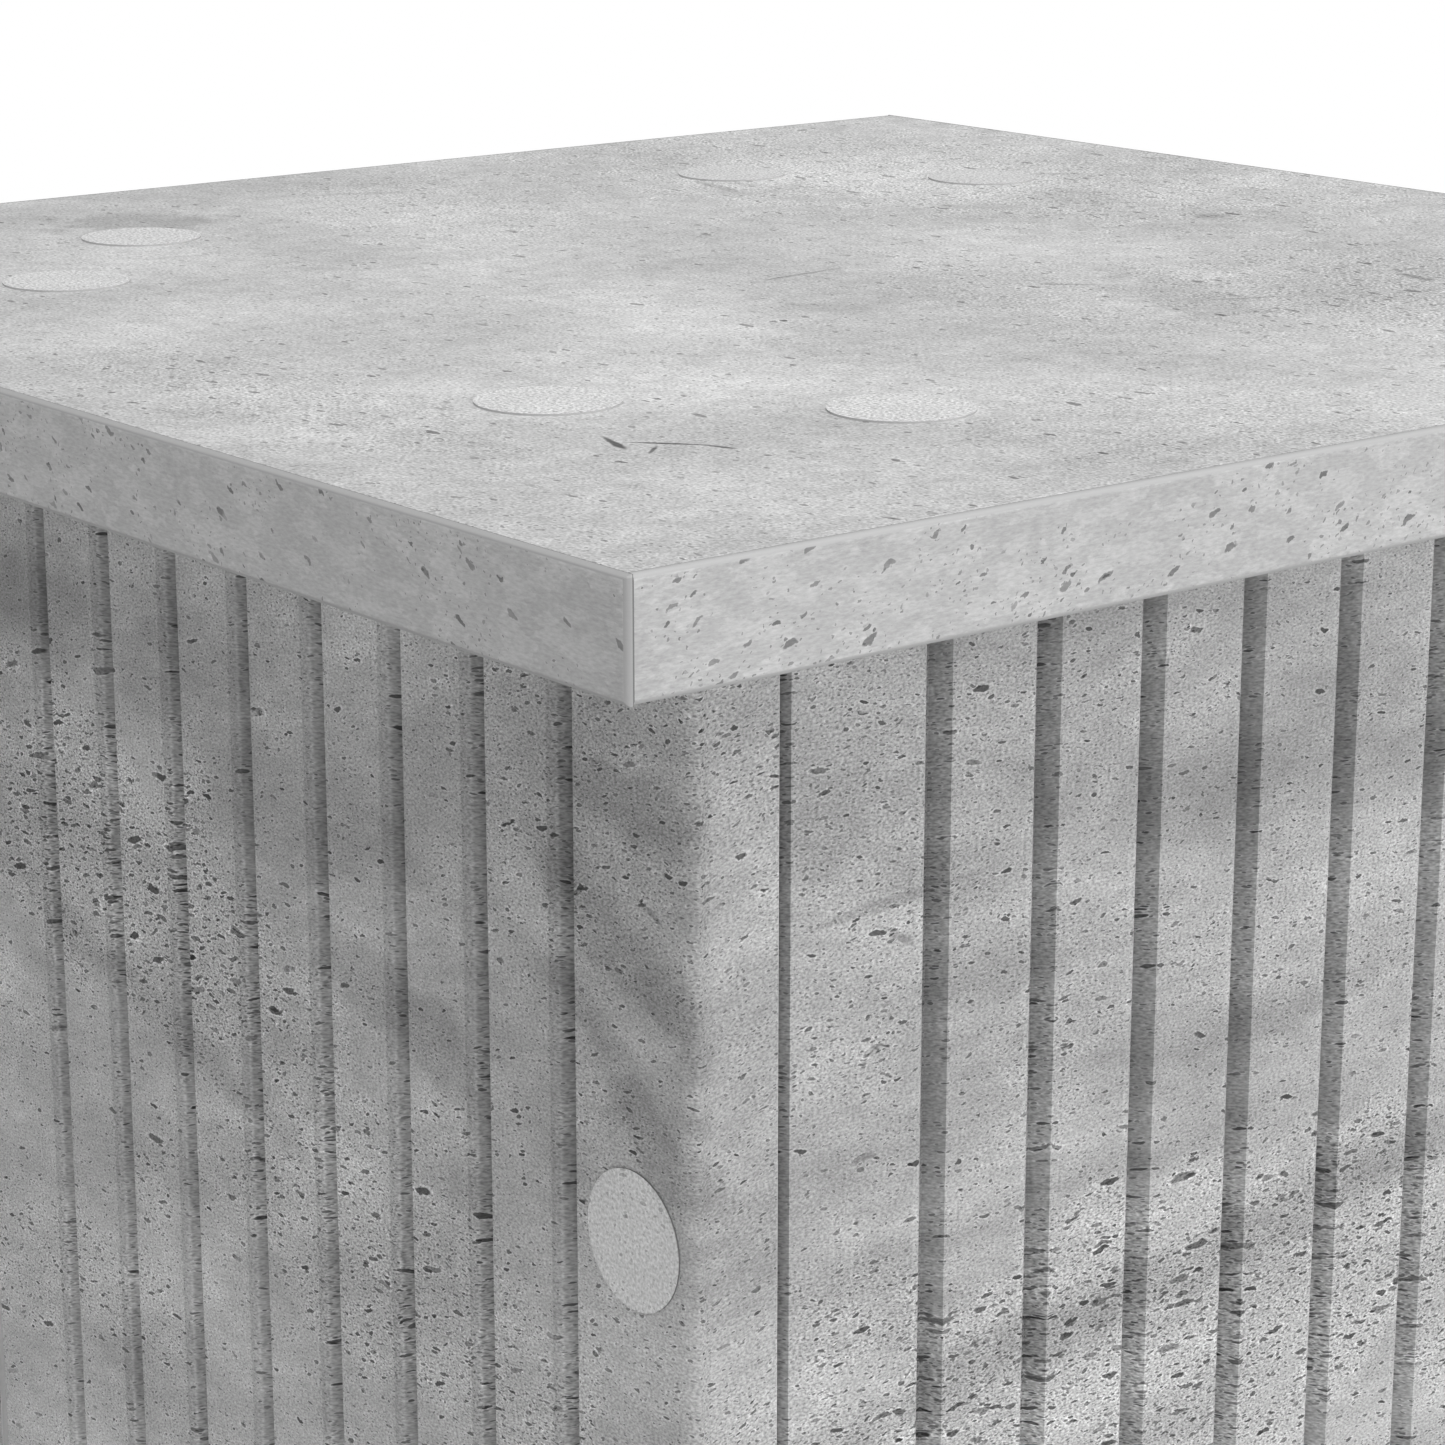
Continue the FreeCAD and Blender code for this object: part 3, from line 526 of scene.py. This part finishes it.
def band_arris(shader, x, z, side, low, high):
    """Where a band's scraped arrises are, and how light they are there, with a painted shade that
    differs by side and a painted highlight along the top edge.
    """
    rise = shader.math("SUBTRACT", z, high.z - ARRIS_RADIUS)
    fall = shader.math("SUBTRACT", low.z + ARRIS_RADIUS, z)
    corner = shader.math("SUBTRACT", shader.math("ABSOLUTE", x), high.x - ARRIS_RADIUS)
    nearest = shader.math("MAXIMUM", shader.math("MAXIMUM", rise, fall), corner)
    # A painted highlight along the top edge, and a painted shade on the arris that differs by
    # side.
    tone = shader.mix(shader.ramp(rise, 0.30, 0.55), ARRIS_SCRAPED_AND_PAINTED_SHADE[side], TOP_EDGE_PAINTED_HIGHLIGHT)
    return shader.ramp(nearest, 0.12, 0.28), shader.math("MULTIPLY", tone, BAND_GREY)


def band_seam(shader, x, y, turns, low, high):
    """Where a thin dark joint shows: at the top sheet, and at a side band's ends."""
    seam = shader.math("GREATER_THAN", y, high.y - SEAM_WIDTH)
    if turns % 2 == 0:
        return seam
    band_thickness = high.y - low.y
    end = high.x - band_thickness - SEAM_WIDTH
    ending = shader.math("GREATER_THAN", shader.math("ABSOLUTE", x), end)
    return shader.math("MAXIMUM", seam, ending)


def band_decor(turns, side):
    """The edge bands: their print, with plain scraped arrises that carry a painted shade and a
    painted highlight, and thin dark joints.
    """
    shader = Shader(f"concrete_band_{side}")
    low, high = box_mm("front_edge_band")
    x, y, z = local_place(shader, turns)
    face, grain = band_face(shader, x, z, turns)
    arris, arris_with_painted_light = band_arris(shader, x, z, side, low, high)
    value = shader.mix(arris, face, arris_with_painted_light)
    value = shader.mix(band_seam(shader, x, y, turns, low, high), value, SEAM_GREY)
    return shader.finish(shader.grey(value), 0.5, grain, 0.00003)


STICKER_GREY = 0.68
# The painted shade on a sticker's cut edge.
STICKER_EDGE_PAINTED_SHADE = 0.40
# How light a sticker on a panel is against that panel, and how dark the painted shade on its cut
# edge is.
UPRIGHT_STICKER_TONE = 1.42
UPRIGHT_EDGE_PAINTED_SHADE = 0.45
STICKER_PORES = [(0.9, 0.26, 0.40, 0.80, 1.4, 0.34), (2.0, 0.44, 0.20, 0.55, 2.0, 0.42)]
STICKER_GRAIN_WAVE = 0.5
STICKER_GRAIN = 1.5
UPRIGHT_STICKER_GRAIN = 0.9
STICKER_CLOUD_WAVE = 8.0
STICKER_CLOUD = 0.22
# How strong the painted highlight ring around each pore is.
STICKER_RIM_HIGHLIGHT = 0.08
# How much of a sticker's thickness gets the painted shade of its cut edge on a panel.
STICKER_EDGE_DEPTH = 0.25


def sticker_print(shader, place, turns, ground, grain_strength):
    """A sticker's print, a pale grey with fine dark specks, and its grain."""
    grain = shader.noise(place, STICKER_GRAIN_WAVE, 1.0, 0.6, 52)
    cloud = shader.noise(place, STICKER_CLOUD_WAVE, 3.0, 0.5, 53 + turns)
    value = shaded(shader, ground, cloud, STICKER_CLOUD)
    value = shaded(shader, value, grain, grain_strength)
    rough = shader.ramp(cloud, -0.1, 0.15)
    warped = wandering(shader, place, 51)
    value = printed_pores(shader, value, warped, STICKER_PORES, rough, STICKER_RIM_HIGHLIGHT, 60 + turns)
    return value, grain


def top_sticker_decor(turns, side):
    """A sticker on the top, whose sides, the cut edge, get a painted shade."""
    shader = Shader(f"top_sticker_{side}")
    x, y, z = local_place(shader, turns)
    place = flat_place(shader, x, y)
    value, grain = sticker_print(shader, place, turns, STICKER_GREY, STICKER_GRAIN)
    normal = shader.add("ShaderNodeNewGeometry").outputs["True Normal"]
    facing = shader.add("ShaderNodeSeparateXYZ", {0: normal}).outputs["Z"]
    # The sides are drawn dark as a painted shade.
    edge = shader.math("LESS_THAN", facing, 0.5)
    value = shader.mix(edge, value, STICKER_EDGE_PAINTED_SHADE)
    return shader.finish(shader.grey(value), 0.5, grain, 0.00004)


def panel_sticker_decor(turns, corner):
    """A sticker on a panel, a little paler than it, with a painted shade on its cut edge."""
    shader = Shader(f"corner_sticker_{corner}")
    x, y, z = local_place(shader, turns)
    panel_grey = PANEL_GREY[SIDES[turns]]
    ground = panel_grey * UPRIGHT_STICKER_TONE
    value, grain = sticker_print(shader, flat_place(shader, x, z), turns, ground,
                                 UPRIGHT_STICKER_GRAIN)
    panel_plane = box_mm("front_panel")[0].y
    # The cut edge is drawn dark as a painted shade.
    edge = shader.math("GREATER_THAN", y, panel_plane - STICKER_EDGE_DEPTH)
    value = shader.mix(edge, value, panel_grey * UPRIGHT_EDGE_PAINTED_SHADE)
    return shader.finish(shader.grey(value), 0.5, grain, 0.00004)


# --- hardware ---------------------------------------------------------------------------------

def plain_material(name, color, roughness, metallic=0.0, grain_period=1.0, grain=0.1):
    """A material of one colour with a fine, uneven grain."""
    shader = Shader(name)
    x, y, z = local_place(shader, 0)
    place = flat_place(shader, shader.math("ADD", x, y), z)
    uneven = shader.noise(place, grain_period, detail=3.0, seed=70)
    parts = [shaded(shader, channel, uneven, grain) for channel in color]
    mixed = shader.add("ShaderNodeCombineColor",
                       {"Red": parts[0], "Green": parts[1], "Blue": parts[2]}).outputs[0]
    rough = shader.math("ADD", roughness, shader.math("MULTIPLY", uneven, 0.1))
    material = shader.finish(mixed, rough)
    principled = next(n for n in shader.tree.nodes if n.type == "BSDF_PRINCIPLED")
    principled.inputs["Metallic"].default_value = metallic
    return material


def assign(node, material):
    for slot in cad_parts[node].material_slots:
        slot.material = material


def dress_table():
    """Give every CAD node its material."""
    zinc = plain_material("zinc_plate", (0.62, 0.62, 0.60), 0.35, 1.0, 0.8, 0.15)
    beech = plain_material("beech", (0.62, 0.42, 0.24), 0.6, 0.0, 0.7, 0.35)
    black_plastic = plain_material("glide_plastic", (0.045, 0.045, 0.048), 0.45, 0.0, 0.4, 0.2)
    assign("top_board", top_decor())
    for turns, side in enumerate(SIDES):
        assign(f"{side}_panel", panel_decor(turns, side))
        assign(f"{side}_edge_band", band_decor(turns, side))
        assign(f"{side}_top_screws", zinc)
        assign(f"{side}_top_stickers", top_sticker_decor(turns, side))
    for turns, corner in enumerate(CORNERS):
        assign(f"{corner}_screws", zinc)
        assign(f"{corner}_dowels", beech)
        assign(f"{corner}_glide", black_plastic)
        assign(f"{corner}_glide_nail", zinc)
        assign(f"{corner}_stickers", panel_sticker_decor(turns, corner))


# --- the studio -------------------------------------------------------------------------------

FLOOR_RADIUS = 9.0
FLOOR_GREY = 0.72
# Where the floor starts and ends fading to white, in metres from the table.
FLOOR_FADE = (1.5, 3.4)
WORLD_STRENGTH = 0.22
# Each softbox's name, place, size in metres and power in watts.
SOFTBOXES = [("overhead", (0.95, -0.95, 3.0), 2.0, 71.0),
             ("side", (2.36, 1.84, 1.3), 1.5, 60.0),
             ("fill", (2.3, -1.8, 1.0), 1.2, 13.0)]
# The camera's place from the top's near corner, its aim in degrees and its lens in millimetres.
CAMERA_OFFSET = Vector((0.3339, -0.2543, 0.0996))
CAMERA_AZIMUTH = 51.27
CAMERA_PITCH = 15.48
CAMERA_LENS = 98.65
SENSOR_WIDTH = 36.0


def make_floor():
    """A pale floor that fades to the backdrop's white away from the table."""
    bpy.ops.mesh.primitive_circle_add(vertices=128, radius=FLOOR_RADIUS, fill_type="NGON")
    floor = bpy.context.object
    floor.name = "floor"
    shader = Shader("pale_floor")
    coordinates = shader.add("ShaderNodeTexCoord").outputs["Object"]
    distance = shader.add("ShaderNodeVectorMath", {0: coordinates},
                          operation="LENGTH").outputs["Value"]
    fade = shader.ramp(distance, *FLOOR_FADE)
    matte = shader.add("ShaderNodeBsdfDiffuse", {"Color": (FLOOR_GREY,) * 3 + (1.0,)})
    white = shader.add("ShaderNodeEmission", {"Color": (1.0, 1.0, 1.0, 1.0), "Strength": 1.0})
    blend = shader.add("ShaderNodeMixShader", {0: fade, 1: matte.outputs[0],
                                               2: white.outputs[0]})
    output = shader.add("ShaderNodeOutputMaterial")
    shader.tree.links.new(blend.outputs[0], output.inputs[0])
    floor.data.materials.append(shader.material)


def make_backdrop():
    """A white dome behind everything, which only the camera sees."""
    bpy.ops.mesh.primitive_uv_sphere_add(segments=64, ring_count=32, radius=FLOOR_RADIUS)
    dome = bpy.context.object
    dome.name = "backdrop"
    shader = Shader("white_backdrop")
    white = shader.add("ShaderNodeEmission", {"Color": (1.0, 1.0, 1.0, 1.0), "Strength": 1.0})
    output = shader.add("ShaderNodeOutputMaterial")
    shader.tree.links.new(white.outputs[0], output.inputs[0])
    dome.data.materials.append(shader.material)
    dome.visible_diffuse = False
    dome.visible_glossy = False
    dome.visible_shadow = False


def make_world(strength):
    world = bpy.data.worlds.new("studio")
    world.use_nodes = True
    background = next(n for n in world.node_tree.nodes if n.type == "BACKGROUND")
    background.inputs["Color"].default_value = (1.0, 1.0, 1.0, 1.0)
    background.inputs["Strength"].default_value = strength
    bpy.context.scene.world = world


def add_softbox(name, place, size, power, target):
    data = bpy.data.lights.new(name, "AREA")
    data.shape = "SQUARE"
    data.size = size
    data.energy = power
    lamp = bpy.data.objects.new(name, data)
    bpy.context.scene.collection.objects.link(lamp)
    lamp.location = place
    direction = target - Vector(place)
    lamp.rotation_euler = direction.to_track_quat("-Z", "Y").to_euler()


def add_camera(place, azimuth, pitch, lens):
    """A camera that looks along an azimuth, counted from +Y towards -X, and down by a pitch."""
    data = bpy.data.cameras.new("camera")
    data.lens = lens
    data.sensor_width = SENSOR_WIDTH
    camera = bpy.data.objects.new("camera", data)
    bpy.context.scene.collection.objects.link(camera)
    camera.location = place
    camera.rotation_euler = (math.radians(90.0 - pitch), 0.0, math.radians(azimuth))
    bpy.context.scene.camera = camera


def light_studio():
    scene = bpy.context.scene
    scene.view_settings.view_transform = "Standard"
    scene.view_settings.look = "None"
    table_middle = Vector((0.0, 0.0, (cad_box[0].z + cad_box[1].z) / 2))
    make_world(WORLD_STRENGTH)
    for name, place, size, power in SOFTBOXES:
        add_softbox(name, place, size, power, table_middle)
    make_floor()
    make_backdrop()


dress_table()
light_studio()
near_corner = Vector((cad_box[1].x, cad_box[0].y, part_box("top_board")[1].z))
add_camera(near_corner + CAMERA_OFFSET, CAMERA_AZIMUTH, CAMERA_PITCH, CAMERA_LENS)
